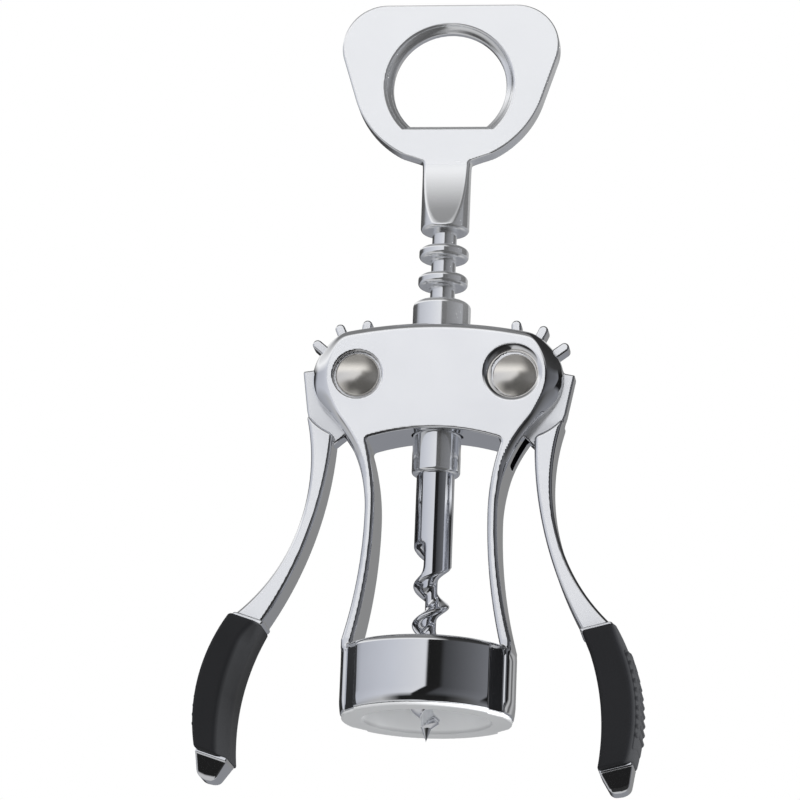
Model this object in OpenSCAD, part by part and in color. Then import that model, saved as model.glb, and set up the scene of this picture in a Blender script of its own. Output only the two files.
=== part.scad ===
// Lever corkscrew with a bottle opener for a handle.
// The mouth of the bell is at z = 0, the worm runs up the Z axis, and the levers spread along X.

/* [Head] */
// Depth of the head and legs, front to back
frame_depth = 15.8; // [15.2:0.1:16.4]
// Distance of each lever pivot from the worm's axis
pivot_x = 19.13; // [19:0.01:19.3]
// Height of the pivots above the mouth of the bell
pivot_z = 83.85; // [83.5:0.05:84.2]
// Radius of the rounded ends of the head, about each pivot
head_end_r = 11.5; // [11:0.1:12]
// Height of the top of the head
head_top_z = 97.2; // [96.8:0.1:97.6]
// Width of the slot that the lever hubs turn in
slot_w = 5.5; // [5.3:0.1:6]
// Radius of the slot about each pivot
slot_r = 15.6; // [15.5:0.1:16]
// Radius of the bore that the stem slides through
stem_bore_r = 6.2; // [6.15:0.05:6.4]

/* [Legs] */
// Outside of each leg from the worm's axis, at its waist
leg_outer_x = 16; // [15.6:0.1:16.4]
// Inside of each leg from the worm's axis, at its waist
leg_inner_x = 13.6; // [13.2:0.1:14]
// Height of the waist
waist_z = 50; // [48:0.5:52]
// Top of the window between the legs, at the middle
window_top_z = 70.5; // [70:0.1:71.2]

/* [Bell] */
// Radius of the bell at its mouth
bell_r = 21; // [20.8:0.1:21.4]
// Height of the bell's top
bell_top_z = 17.2; // [16.8:0.1:17.6]
// Half width of the drum between the recesses in its sides
drum_half_w = 16; // [15.6:0.1:16.4]
// Height of the recesses' tops
recess_top_z = 15.6; // [15:0.1:16]
// Radius of the bore that the neck liner is pressed into
bell_bore_r = 17; // [16.8:0.1:17.2]
// Inside radius of the neck liner
liner_r = 15.4; // [15.2:0.1:15.8]
// Depth of the neck liner
liner_h = 12.4; // [12:0.1:12.8]
// Thickness of the liner's flange, under the rim of the bell
flange_t = 1; // [0.8:0.1:1.2]

/* [Stem] */
// Distance from one ring of the rack to the next
ring_pitch = 7.05; // [7.03:0.01:7.07]
// Height of the top ring's middle
top_ring_z = 116.45; // [116.3:0.05:116.6]
// Number of rings above the barrel
ring_count = 6; // [6]
// Radius of the rings
ring_r = 6.05; // [6:0.01:6.07]
// Thickness of each ring
ring_t = 2.9; // [2.7:0.1:3]
// Radius of the core between the rings
core_r = 3; // [2.8:0.1:3.1]
// Radius of the barrel that holds the worm
barrel_r = 5.87; // [5.8:0.01:5.95]
// Height of the barrel's foot
barrel_z = 60.45; // [60:0.05:61]
// Height of the collar's top
collar_top_z = 104; // [103.5:0.1:104.3]
// Outside radius of the collar
collar_r = 7.05; // [7:0.05:7.1]

/* [Opener key] */
// Height of the foot of the key's neck
neck_z = 122.1; // [121.9:0.1:122.3]
// Radius of the neck
neck_r = 5.95; // [5.9:0.01:6]
// Thickness of the plate
plate_t = 5.1; // [4.9:0.1:5.3]
// Height of the flat top
plate_top_z = 181.2; // [181:0.1:181.4]
// Radius of the plate's lower edge
plate_r = 24.3; // [24:0.1:24.6]
// Radius of the hole for a bottle cap
cap_hole_r = 14.1; // [13.9:0.1:14.3]
// Height of the hole's flat lip
lip_z = 149.6; // [149.4:0.1:149.8]
// Width of the bevel round the hole
bevel_w = 2.6; // [2.4:0.1:2.8]

/* [Worm] */
// Height of the worm's point, below the mouth
point_z = -4.6; // [-5:0.1:-4.4]
// Radius of the shank
shank_r = 4.6; // [4.5:0.1:4.7]
// Outside radius of the thread
thread_r = 4.3; // [4.2:0.1:4.4]
// Rise of the thread in one turn
thread_pitch = 9.6; // [9.2:0.1:10]

/* [Levers] */
// Number of teeth that a whole pinion would have
pinion_teeth = 13; // [13]
// Radius to the tips of the teeth
tooth_tip_r = 15.3; // [15.2:0.05:15.4]
// Width of a tooth
tooth_w = 2.4; // [2.2:0.1:2.4]
// Radius of the hub
hub_r = 11.2; // [11:0.1:11.3]
// Thickness of the hub and its teeth
hub_t = 5; // [4.8:0.1:5]
// Angle of the arms from straight down, in mesh
arm_angle = 16.3; // [16:0.1:16.6]
// Angle by which play in the teeth lets one arm hang out and the other in
arm_play = 1.5; // [0:0.1:1.5]
// Depth of the arms, front to back
arm_w = 10.5; // [10:0.1:11]
// Radius about the pivot where the arm steps down to its hub
step_r = 15.2; // [15:0.1:15.4]

/* [Grips] */
// Depth of the grips, front to back
grip_w = 14.5; // [14:0.1:15]
// Distance from the pivot to the top of the grip
grip_top = 65; // [64.5:0.1:65.5]
// Distance from the pivot to the foot of the grip
grip_foot = 98.4; // [98:0.1:98.8]
// Distance from the pivot to the lever's tip
tip_foot = 104.4; // [104:0.1:104.8]
// Height of the nubs on the thumb pad
nub_h = 0.7; // [0.5:0.1:0.8]

/* [Rivets] */
// Radius of the domed heads
rivet_head_r = 5.4; // [5.3:0.1:5.6]
// Radius of the recesses they sit in
recess_r = 6.15; // [6:0.05:6.3]
// Depth of the recesses
recess_h = 1.3; // [1.2:0.1:1.5]
// Radius of the shanks
rivet_r = 2.5; // [2.4:0.1:2.6]

/* [Hidden] */
$fn = 96;
fit = 0.05;          // running clearance on a radius
far = 200;           // size of a cutting block
cross = 0.01;        // depth by which two edges that run into each other cross

// head
head_rise = head_top_z - pivot_z;
top_arc_r = (pivot_x * pivot_x + head_rise * head_rise - head_end_r * head_end_r)
            / (2 * (head_rise - head_end_r));
top_tangent_x = pivot_x * top_arc_r / (top_arc_r - head_end_r);
window_arc_r = 53;
collar_seat_z = 94.4;
slot_foot_z = 62.6;
slot_depth = 1.6;    // depth of the slot where it runs down the outside of a leg

// legs: each edge is two arcs that meet at the waist
outer_run = pivot_z - waist_z;
outer_dx = pivot_x - leg_outer_x;
blend_r = head_end_r - cross;
upper_outer_r = (outer_run * outer_run + outer_dx * outer_dx - blend_r * blend_r)
                / (2 * (blend_r + outer_dx));
upper_inner_r = 57;
leg_limit_x = 20.35;
lower_outer_r = 118;
lower_inner_r = 135;
shoulder_t = upper_outer_r / (upper_outer_r + head_end_r);
shoulder_x = (leg_outer_x + upper_outer_r) + (pivot_x - leg_outer_x - upper_outer_r) * shoulder_t;
shoulder_z = waist_z + outer_run * shoulder_t;

// bell
bell_ceiling_t = 3.6;
bell_foot_h = 4.5;
bell_foot_in = 0.6;
bell_shoulder_h = 1.5;
bell_shoulder_in = 1.7;
recess_y = 11.5;
recess_end_x = 18.7;
flange_inset = 0.65;
worm_hole_r = 5.3;
stop_lip = 1.6;
lip_t = 1.2;

// stem and key
barrel_foot = 0.8;
barrel_top_z = top_ring_z - ring_count * ring_pitch + ring_t / 2;
tang_r = 3.4;
tang_top_z = 71.5;
pin_z = 66.6;
pin_r = 1.25;
spigot_r = 2.6;
spigot_top_z = 133;
plate_mid_z = 163.6;
corner_r = 11;
corner_x = 16.05;
corner_z = plate_top_z - corner_r;
side_angle = atan2(corner_z - plate_mid_z, corner_x)
             - acos((plate_r - corner_r) / norm([corner_x, corner_z - plate_mid_z]));
cap_hole_z = 160;
neck_top_z = 141;
flat_foot_z = 123.6;
flat_top_z = 137.5;

// levers, in a frame with its origin at the pivot and the arm straight down
tooth_step = 360 / pinion_teeth;
teeth_made = 7;
mesh_z = top_ring_z - (ring_count - 1.5) * ring_pitch;
mesh_angle = asin((mesh_z - pivot_z) / tooth_tip_r);
first_tooth = arm_angle - 90 + mesh_angle - tooth_step;
arm_foot = 63.8;
arm_waist = 40;
arm_outer_v = 1.04;
arm_outer_upper_r = 51;
arm_outer_lower_r = 46;
arm_inner_v = -2.13;
arm_inner_r = 96;
tang_wall = 1.4;

// grips: outer and inner edges are arcs, each furthest out at its own distance from the pivot
grip_outer_u = 77.5;
grip_outer_v = 11;
grip_outer_r = 43;
grip_inner_u = 75;
grip_inner_v = 1.9;
grip_inner_r = 57;

// pivots
seat_y = frame_depth / 2 - recess_h;
pivot_spigot_r = 1.5;
pivot_spigot_len = 9;

// An upright plate cut from an outline drawn in x and z
module upright(depth) {
    rotate([90, 0, 0]) linear_extrude(height = depth, center = true) children();
}

module both_sides() {
    children();
    mirror([1, 0, 0]) children();
}

// ---- frame: one casting of head, legs and bell ----

module head_outline() {
    both_sides() translate([pivot_x, pivot_z]) circle(r = head_end_r);
    intersection() {
        translate([0, head_top_z - top_arc_r]) circle(r = top_arc_r);
        translate([-top_tangent_x, waist_z]) square([2 * top_tangent_x, far]);
    }
    translate([-shoulder_x - 1, waist_z]) square([2 * shoulder_x + 2, shoulder_z - waist_z]);
    translate([-leg_limit_x, flange_t]) square([2 * leg_limit_x, waist_z + 1 - flange_t]);
}

// Everything outside the legs' outer edges
module outside_legs() {
    both_sides() {
        translate([leg_outer_x + upper_outer_r, waist_z]) circle(r = upper_outer_r);
        intersection() {
            translate([leg_outer_x + lower_outer_r, waist_z]) circle(r = lower_outer_r);
            translate([0, -far + waist_z]) square([far, far]);
        }
    }
}

module window_outline() {
    difference() {
        intersection() {
            translate([-far / 2, bell_top_z]) square([far, far]);
            translate([0, window_top_z - window_arc_r]) circle(r = window_arc_r);
        }
        both_sides() {
            translate([leg_inner_x + upper_inner_r, waist_z]) circle(r = upper_inner_r);
            intersection() {
                translate([leg_inner_x + lower_inner_r, waist_z]) circle(r = lower_inner_r);
                translate([0, -far + waist_z]) square([far, far]);
            }
        }
    }
}

// Plan of the recesses in the drum's sides, one each side of both legs
module recesses() {
    pad_y = frame_depth / 2 - cross;
    for (mx = [0, 1], my = [0, 1])
        mirror([mx, 0]) mirror([0, my])
            polygon([[drum_half_w, recess_y], [recess_end_x, pad_y], [far, pad_y], [far, far],
                     [drum_half_w, far]]);
}

module bell() difference() {
    rotate_extrude()
        polygon([[0, flange_t], [bell_r - bell_foot_in, flange_t], [bell_r, flange_t + bell_foot_h],
                 [bell_r, bell_top_z - bell_shoulder_h], [bell_r - bell_shoulder_in, bell_top_z],
                 [0, bell_top_z]]);
    translate([0, 0, -1]) linear_extrude(height = recess_top_z + 1) recesses();
}

// Slots for the lever hubs, which run a little way down the outside of the legs
module slot_outline() both_sides() {
    translate([pivot_x, pivot_z]) circle(r = slot_r);
    intersection() {
        translate([leg_outer_x + upper_outer_r, waist_z]) circle(r = upper_outer_r + slot_depth);
        translate([0, slot_foot_z]) square([far, pivot_z - slot_foot_z]);
    }
}

module rivet_holes() {
    both_sides() translate([pivot_x, 0, pivot_z]) rotate([90, 0, 0]) {
        cylinder(r = rivet_r + fit / 2, h = far, center = true);
        for (s = [-1, 1])
            translate([0, 0, s * (seat_y + far / 2)]) cylinder(r = recess_r, h = far, center = true);
    }
}

module frame() color("gainsboro") difference() {
    union() {
        upright(frame_depth) difference() {
            head_outline();
            outside_legs();
            window_outline();
        }
        bell();
    }
    upright(slot_w) slot_outline();
    translate([0, 0, waist_z]) cylinder(r = stem_bore_r, h = far);
    translate([0, 0, collar_seat_z]) cylinder(r = collar_r + fit, h = far);
    translate([0, 0, -1]) cylinder(r = bell_bore_r, h = bell_top_z - bell_ceiling_t + 1);
    cylinder(r = worm_hole_r, h = bell_top_z + 2);
    rivet_holes();
}

// Plastic liner that centres the bell on a bottle, with a flange under the rim
module neck_liner() color("whitesmoke") difference() {
    union() {
        linear_extrude(height = flange_t) difference() {
            circle(r = bell_r - flange_inset);
            recesses();
        }
        cylinder(r = bell_bore_r, h = liner_h);
    }
    translate([0, 0, -1]) cylinder(r = liner_r, h = liner_h - lip_t + 1);
    cylinder(r = liner_r - stop_lip, h = liner_h + 1);
}

// Loose collar that guides the stem and turns with it on its seat
module guide_collar() color("gainsboro") translate([0, 0, collar_seat_z]) difference() {
    collar_h = collar_top_z - collar_seat_z;
    edge_h = 1;
    edge_in = 0.4;
    rotate_extrude()
        polygon([[0, 0], [collar_r, 0], [collar_r, collar_h - edge_h], [collar_r - edge_in, collar_h],
                 [0, collar_h]]);
    translate([0, 0, -1]) cylinder(r = ring_r + fit, h = far);
}

// ---- stem, key and worm, which turn and slide as one ----

module ring(z) {
    edge = 0.45;
    translate([0, 0, z - ring_t / 2])
        rotate_extrude() polygon([[0, 0], [ring_r - edge, 0], [ring_r, edge], [ring_r, ring_t - edge],
                                  [ring_r - edge, ring_t], [0, ring_t]]);
}

module rack_stem() color("silver") difference() {
    union() {
        translate([0, 0, barrel_z]) rotate_extrude()
            polygon([[0, 0], [barrel_r - barrel_foot, 0], [barrel_r, barrel_foot],
                     [barrel_r, barrel_top_z - barrel_z], [0, barrel_top_z - barrel_z]]);
        translate([0, 0, barrel_z]) cylinder(r = core_r, h = neck_z - barrel_z);
        translate([0, 0, neck_z - 1]) cylinder(r = spigot_r, h = spigot_top_z - neck_z + 1);
        for (i = [0:ring_count - 1]) ring(top_ring_z - i * ring_pitch);
    }
    translate([0, 0, barrel_z - 1]) cylinder(r = tang_r, h = tang_top_z - barrel_z + 1);
    translate([0, 0, pin_z]) rotate([0, 90, 0]) cylinder(r = pin_r, h = far, center = true);
}

module plate_outline() {
    // each side is straight, and just crosses the round lower edge and the round corner
    lower = plate_r - cross;
    upper = corner_r - cross;
    intersection() {
        union() {
            translate([0, plate_mid_z]) circle(r = plate_r);
            both_sides() {
                translate([corner_x, corner_z]) circle(r = corner_r);
                polygon([[0, plate_mid_z], [lower * cos(side_angle), plate_mid_z + lower * sin(side_angle)],
                         [corner_x + upper * cos(side_angle), corner_z + upper * sin(side_angle)],
                         [corner_x, plate_top_z], [0, plate_top_z]]);
            }
        }
        translate([-far / 2, plate_top_z - far - cross]) square([far, far]);
    }
}

module cap_hole_outline(grow = 0) {
    intersection() {
        translate([0, cap_hole_z]) circle(r = cap_hole_r + grow);
        translate([-far / 2, lip_z - grow / 2]) square([far, far]);
    }
}

module opener_key() color("silver") difference() {
    union() {
        upright(plate_t) plate_outline();
        difference() {
            translate([0, 0, neck_z]) cylinder(r = neck_r, h = neck_top_z - neck_z);
            // the neck's round sides run out into flats that meet the plate's faces
            for (s = [-1, 1])
                rotate([90, 0, 90]) linear_extrude(height = far, center = true)
                    polygon([[s * neck_r, flat_foot_z], [s * plate_t / 2, flat_top_z],
                             [s * plate_t / 2, neck_top_z + 1], [s * far, neck_top_z + 1],
                             [s * far, flat_foot_z]]);
        }
    }
    upright(far) cap_hole_outline();
    for (s = [-1, 1])
        translate([0, s * (plate_t / 2 + 0.2), 0]) upright(2) cap_hole_outline(bevel_w);
    translate([0, 0, neck_z - 1]) cylinder(r = spigot_r, h = spigot_top_z - neck_z + 1);
}

// Section of the auger: a round core with one thick vane
module auger_section(vane_r) {
    root_r = 1.5;
    edge_r = 0.7;
    circle(r = root_r, $fn = 16);
    hull() {
        circle(r = root_r * 0.8, $fn = 12);
        translate([vane_r - edge_r, 0]) circle(r = edge_r, $fn = 12);
    }
}

module worm() color("silver") {
    thread_top = 41;
    taper_top = 3;
    taper_r = 2.6;
    point_h = 2;
    point_r = 1.2;
    tip_r = 0.15;
    turns = (thread_top - taper_top) / thread_pitch;
    difference() {
        union() {
            translate([0, 0, thread_top - 2]) cylinder(r = shank_r, h = barrel_z - thread_top + 2);
            translate([0, 0, barrel_z - 1]) cylinder(r = tang_r, h = tang_top_z - barrel_z + 1);
        }
        translate([0, 0, pin_z]) rotate([0, 90, 0]) cylinder(r = pin_r, h = far, center = true);
    }
    translate([0, 0, taper_top])
        linear_extrude(height = thread_top - taper_top, twist = -360 * turns, slices = 72, $fn = 24)
            auger_section(thread_r);
    translate([0, 0, point_z + point_h])
        cylinder(r1 = point_r, r2 = taper_r, h = taper_top - point_z - point_h);
    translate([0, 0, point_z]) cylinder(r1 = tip_r, r2 = point_r, h = point_h);
}

module worm_pin() color("darkgray") translate([0, 0, pin_z]) rotate([0, 90, 0])
    cylinder(r = pin_r, h = 2 * barrel_r - 0.2, center = true);

// ---- levers ----

// A disc whose edge is v outside the pivot's line, a distance u down the arm; inwards of it if r is negative
module edge_disc(u, v, r) {
    translate([v + r, -u]) circle(r = abs(r));
}

// The arm's outline: hollow on its outer side, bowed on its inner side
module arm_outline(top, foot) {
    difference() {
        intersection() {
            translate([-step_r / 2, -foot]) square([1.3 * step_r, foot - top]);
            edge_disc(arm_waist, arm_inner_v, arm_inner_r);
        }
        intersection() {
            edge_disc(arm_waist, arm_outer_v, arm_outer_upper_r);
            translate([0, -arm_waist]) square([far, far]);
        }
        edge_disc(arm_waist, arm_outer_v, arm_outer_lower_r);
    }
}

// The grip's outline: bowed on its outer side, hollow on its inner side
module grip_outline(inset, top, foot) {
    difference() {
        intersection() {
            translate([-grip_w, -foot]) square([2 * grip_w, foot - top]);
            edge_disc(grip_outer_u, grip_outer_v - inset, -grip_outer_r);
        }
        edge_disc(grip_inner_u, grip_inner_v + inset, -grip_inner_r);
    }
}

module tooth() {
    tip = tooth_tip_r - tooth_w / 2;
    translate([-tooth_w / 2, 0]) square([tooth_w, tip]);
    translate([0, tip]) circle(r = tooth_w / 2, $fn = 32);
}

// Hub with its teeth, and the pointed shoulder that carries the arm
module hub_outline() {
    shoulder = [[0, 0], [11, -0.8], [13.9, -2.2], [12.9, -6.3], [9.6, -11.4], [7.2, -16.4],
                [0.4, -17.2], [-1.7, -13.8], [-4, -9]];
    circle(r = hub_r);
    for (i = [0:teeth_made - 1]) rotate(-(first_tooth + i * tooth_step)) tooth();
    polygon(shoulder);
}

module lever() color("gainsboro") difference() {
    union() {
        upright(hub_t) hub_outline();
        upright(arm_w) difference() {
            arm_outline(10, grip_top);
            circle(r = step_r);
        }
        upright(arm_w - 2 * tang_wall) grip_outline(tang_wall, arm_foot, grip_foot + 0.4);
        lever_tip();
    }
    rotate([90, 0, 0]) cylinder(r = rivet_r + fit, h = far, center = true);
}

// A slice across the lever's tip: how far it reaches inwards and outwards, and its depth
module tip_slice(reach, u, t) {
    translate([reach[0], -reach[2] / 2, -u - t]) cube([reach[1] - reach[0], reach[2], t]);
}

// Faceted end that shows past the grip: a rim, then facets down to a blunt foot
module lever_tip() {
    rim = [-2.4, 4.8, 10.4];
    middle = [-2.2, 4, 8.8];
    foot = [-1.6, 0.8, 4.4];
    rim_t = 0.6;
    thin = 0.1;
    hull() {
        tip_slice(rim, grip_foot, rim_t);
        tip_slice(middle, grip_foot + 2.5, thin);
        tip_slice(foot, tip_foot - thin, thin);
    }
}

// Rubber sleeve over the lower arm, with a pad of nubs for the thumb
module grip() color("black") {
    pad_top = 72;
    pad_foot = 95.5;
    pad_margin = 2;
    pad_inner_v = 4;
    difference() {
        union() {
            upright(grip_w) grip_outline(0, grip_top, grip_foot);
            upright(grip_w - 2 * pad_margin) intersection() {
                grip_outline(-nub_h, pad_top, pad_foot);
                translate([pad_inner_v, -far]) square([far, 2 * far]);
            }
        }
        upright(arm_w - 2 * tang_wall) grip_outline(tang_wall, grip_top - 5, grip_foot + 5);
    }
}

// Places a lever's own pieces at rest on the right or left
module at_pivot(side, play) {
    translate([side * pivot_x, 0, pivot_z]) rotate([0, -side * (arm_angle + play), 0])
        if (side > 0) children();
        else mirror([1, 0, 0]) children();
}

module lever_left() at_pivot(-1, arm_play) lever();
module lever_right() at_pivot(1, -arm_play) lever();
module grip_left() at_pivot(-1, arm_play) grip();
module grip_right() at_pivot(1, -arm_play) grip();

// ---- pivots: a hollow rivet from the front, closed by a capped spigot from the back ----

module rivet_dome() {
    edge = 0.6;
    rise = 1.5;
    dome_r = (rivet_head_r * rivet_head_r + rise * rise) / (2 * rise);
    intersection() {
        cylinder(r = rivet_head_r, h = edge + rise + 1);
        translate([0, 0, edge + rise - dome_r]) sphere(r = dome_r);
    }
}

module pivot_pin(side) color("darkgray") translate([side * pivot_x, 0, pivot_z]) rotate([90, 0, 0]) {
    translate([0, 0, seat_y]) rivet_dome();
    difference() {
        translate([0, 0, -seat_y]) cylinder(r = rivet_r, h = 2 * seat_y);
        translate([0, 0, -seat_y - 1]) cylinder(r = pivot_spigot_r, h = pivot_spigot_len + 2);
    }
}

module pivot_cap(side) color("darkgray") translate([side * pivot_x, 0, pivot_z]) rotate([-90, 0, 0]) {
    translate([0, 0, seat_y]) rivet_dome();
    translate([0, 0, seat_y - pivot_spigot_len]) cylinder(r = pivot_spigot_r, h = pivot_spigot_len + cross);
}

module pivot_pin_left() pivot_pin(-1);
module pivot_pin_right() pivot_pin(1);
module pivot_cap_left() pivot_cap(-1);
module pivot_cap_right() pivot_cap(1);

frame();
neck_liner();
guide_collar();
rack_stem();
opener_key();
worm();
worm_pin();
lever_left();
lever_right();
grip_left();
grip_right();
pivot_pin_left();
pivot_pin_right();
pivot_cap_left();
pivot_cap_right();
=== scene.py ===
"""Lever corkscrew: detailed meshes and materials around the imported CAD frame.

Each piece is written as a field, a function of x, y and z in millimetres that is negative inside the piece.
Its mesh is the surface where the field is zero, with every edge rounded in the geometry.
X points to the right lever, -Y to the front and Z up the worm's axis; z = 0 is the mouth of the bell.
"""
import math

import bpy
import numpy as np
from mathutils import Matrix, Vector


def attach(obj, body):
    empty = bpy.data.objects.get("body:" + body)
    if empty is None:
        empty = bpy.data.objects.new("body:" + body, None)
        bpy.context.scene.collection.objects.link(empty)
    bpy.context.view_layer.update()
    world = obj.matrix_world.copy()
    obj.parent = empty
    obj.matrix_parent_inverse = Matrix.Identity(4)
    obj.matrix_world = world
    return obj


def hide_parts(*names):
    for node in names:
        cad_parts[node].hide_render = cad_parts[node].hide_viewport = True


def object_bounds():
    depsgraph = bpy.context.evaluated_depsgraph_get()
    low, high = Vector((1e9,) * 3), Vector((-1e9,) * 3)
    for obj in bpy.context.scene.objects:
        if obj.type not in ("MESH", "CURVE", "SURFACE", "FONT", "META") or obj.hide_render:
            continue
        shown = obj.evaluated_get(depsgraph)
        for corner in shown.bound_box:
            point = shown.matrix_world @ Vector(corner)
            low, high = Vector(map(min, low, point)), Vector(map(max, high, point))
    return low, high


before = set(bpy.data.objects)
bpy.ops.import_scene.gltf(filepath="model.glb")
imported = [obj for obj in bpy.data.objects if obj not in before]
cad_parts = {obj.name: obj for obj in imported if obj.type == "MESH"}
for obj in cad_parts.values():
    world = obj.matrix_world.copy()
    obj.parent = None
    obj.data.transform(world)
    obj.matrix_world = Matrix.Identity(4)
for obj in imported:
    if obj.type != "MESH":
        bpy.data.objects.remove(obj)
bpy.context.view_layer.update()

MM = 0.001
FAR = 1000.0  # a distance in millimetres that is past every piece
DIAGONAL = 0.707  # what a slope of 45 degrees is scaled by to give a distance

# ---- sizes in millimetres, on or close to the CAD's; Z is a height, U is down an arm, R is a radius ----
PIVOT_X, PIVOT_Z = 19.13, 83.85
HEAD_END_R, HEAD_HALF_X, HEAD_TOP_Z = 11.5, 30.7, 97.2
FRAME_HALF = 7.9
SLOT_HALF, SLOT_R, SLOT_FOOT_Z, SLOT_DEPTH = 2.75, 15.5, 62.6, 1.6
STEM_BORE_R = 6.2
COLLAR_SEAT_Z, COLLAR_TOP_Z = 94.4, 104.0
COLLAR_R, COLLAR_BORE_R = 7.05, 6.1
LEG_OUTER_X, LEG_INNER_X, WAIST_Z = 16.0, 13.6, 50.0
LOWER_OUTER_R, UPPER_INNER_R, LOWER_INNER_R = 118.0, 57.0, 135.0
WINDOW_TOP_Z, WINDOW_ARC_R = 70.5, 53.0
BELL_R, BELL_TOP_Z, BELL_RIM_Z = 21.0, 17.2, 1.0
DRUM_HALF, LEG_LIMIT_X = 16.0, 20.35
NOTCH_TOP_Z, NOTCH_Y, NOTCH_END_X = 15.6, 11.5, 18.7
BELL_BORE_R, BELL_CEILING_Z, WORM_HOLE_R = 17.0, 13.6, 5.3
LINER_R, LINER_H, LINER_LIP_R, LINER_LIP_T, FLANGE_R = 15.4, 12.4, 13.8, 1.2, 20.35
RING_R, RING_T, RING_PITCH, RING_COUNT = 6.05, 2.9, 7.05, 6
TOP_RING_Z = 116.45
CORE_R = 3.0
BARREL_R, BARREL_Z, BARREL_TOP_Z = 5.87, 60.45, 75.6
TANG_R, TANG_TOP_Z = 3.4, 71.5
PIN_Z, PIN_R = 66.6, 1.25
SHANK_R = 4.6
NECK_Z, NECK_R = 122.1, 5.95
NECK_FLARE_Z, SCOOP_TOP_Z = 140.3, 139.5
PLATE_HALF, PLATE_R, PLATE_MID_Z, PLATE_TOP_Z = 2.55, 24.3, 163.6, 181.2
PLATE_CORNER_R, PLATE_CORNER_X = 11.0, 16.05
CAP_HOLE_R, CAP_HOLE_Z, LIP_Z = 14.1, 160.0, 149.6
# the dish round the hole is a circle of radius R, with its middle IN the hole and OUT from the plate's face
HOLE_DISH_R, HOLE_DISH_IN, HOLE_DISH_OUT = 2.2, 0.17, 0.743
RIVET_HEAD_R, RIVET_EDGE, RIVET_RISE, RIVET_SHANK_R = 5.4, 0.6, 1.5, 2.5
RIVET_BORE_R, RIVET_BORE_DEPTH = 1.5, 9.0
RECESS_R, RECESS_H = 5.9, 1.3
# the recess at the front right was cut as a dish, a little off the pivot's centre
DISH_R, DISH_DX, DISH_DZ = 6.7, -0.6, 0.7
HUB_R, HUB_HALF = 11.2, 2.5
TOOTH_TIP_R, TOOTH_W, TOOTH_STEP, TEETH = 15.3, 2.4, 360 / 13, 7
SHOULDER = [(0, -2), (11, 0.8), (13.9, 2.2), (12.9, 6.3), (9.6, 11.4), (7.2, 16.4), (0.4, 17.2),
            (-1.7, 13.8), (-4, 9)]
ARM_HALF, STEP_R = 5.25, 15.2
ARM_ANGLE, ARM_PLAY = 16.3, 1.5
ARM_BEND_U, ARM_INNER_V, ARM_OUTER_V = 40, -2.13, 1.04
ARM_INNER_R, ARM_UPPER_R, ARM_LOWER_R = 96, 51, 46
GRIP_HALF, GRIP_TOP, GRIP_FOOT, TIP_FOOT = 7.25, 65.0, 98.4, 104.4
GRIP_OUTER_U, GRIP_OUTER_V, GRIP_OUTER_R = 77.5, 11, 43
GRIP_INNER_U, GRIP_INNER_V, GRIP_INNER_R = 75, 1.9, 57
GRIP_SLOPE = {"inside": 2.4, "outside": 1.3}
TANG_HALF, TANG_INSET = 3.8, 1.45
TIP_RIM = [(-2.7, 97), (5.4, 97), (5.4, 99.1), (-2.7, 99.1)]
PAD_TOP, PAD_FOOT = 72, 95.5
NUB_R, NUB_ROW, NUB_COLUMN = 0.8, 2.2, 1.9
POINT_Z = -4.6
WORM_PITCH, GROOVE_Z, THREAD_R, CORE_OF_WORM_R, CREST_WIDTH = 9.6, 37.6, 4.4, 1.4, 1.75


# ---- fields ----

def disc(u, v, r):
    """Inside of a circle of radius r."""
    return np.hypot(u, v) - r


def both(*fields):
    """Where all the fields are inside."""
    out = fields[0]
    for f in fields[1:]:
        out = np.maximum(out, f)
    return out


def either(*fields):
    """Where any of the fields is inside."""
    out = fields[0]
    for f in fields[1:]:
        out = np.minimum(out, f)
    return out


def round_both(a, b, r):
    """Where a and b are inside, with the edge between them rounded to radius r."""
    return np.minimum(np.maximum(a, b), -r) + np.hypot(np.maximum(a + r, 0), np.maximum(b + r, 0))


def round_either(a, b, r):
    """Where a or b is inside, with a fillet of radius r between them."""
    return np.maximum(np.minimum(a, b), r) - np.hypot(np.maximum(r - a, 0), np.maximum(r - b, 0))


def round_cut(a, b, r):
    """a with b cut out of it, and the new edge rounded to radius r."""
    return round_both(a, -b, r)


def between(z, low, high):
    """Where z lies between low and high."""
    return np.maximum(low - z, z - high)


def ease(u, start, end):
    """0 before start, 1 after end, and smooth between."""
    t = np.clip((u - start) / (end - start), 0, 1)
    return t * t * (3 - 2 * t)


def soft(t, width):
    """t where it is well above 0, 0 where it is well below, and smooth between."""
    return (t + np.sqrt(t * t + width * width)) / 2


def polygon(v, u, corners):
    """Inside of all the lines that run from each corner to the next."""
    out = None
    for (v0, u0), (v1, u1) in zip(corners, corners[1:] + corners[:1]):
        d = ((v - v0) * (u1 - u0) - (u - u0) * (v1 - v0)) / math.hypot(v1 - v0, u1 - u0)
        out = d if out is None else np.maximum(out, d)
    return out


# ---- meshes from fields ----

def gradient(field, p, h=1e-3):
    """Slope of the field at each point, by differences of h either way."""
    out = np.empty_like(p)
    for axis in range(3):
        d = np.zeros(3)
        d[axis] = h
        out[:, axis] = (field(*(p + d).T) - field(*(p - d).T)) / (2 * h)
    return out


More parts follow.
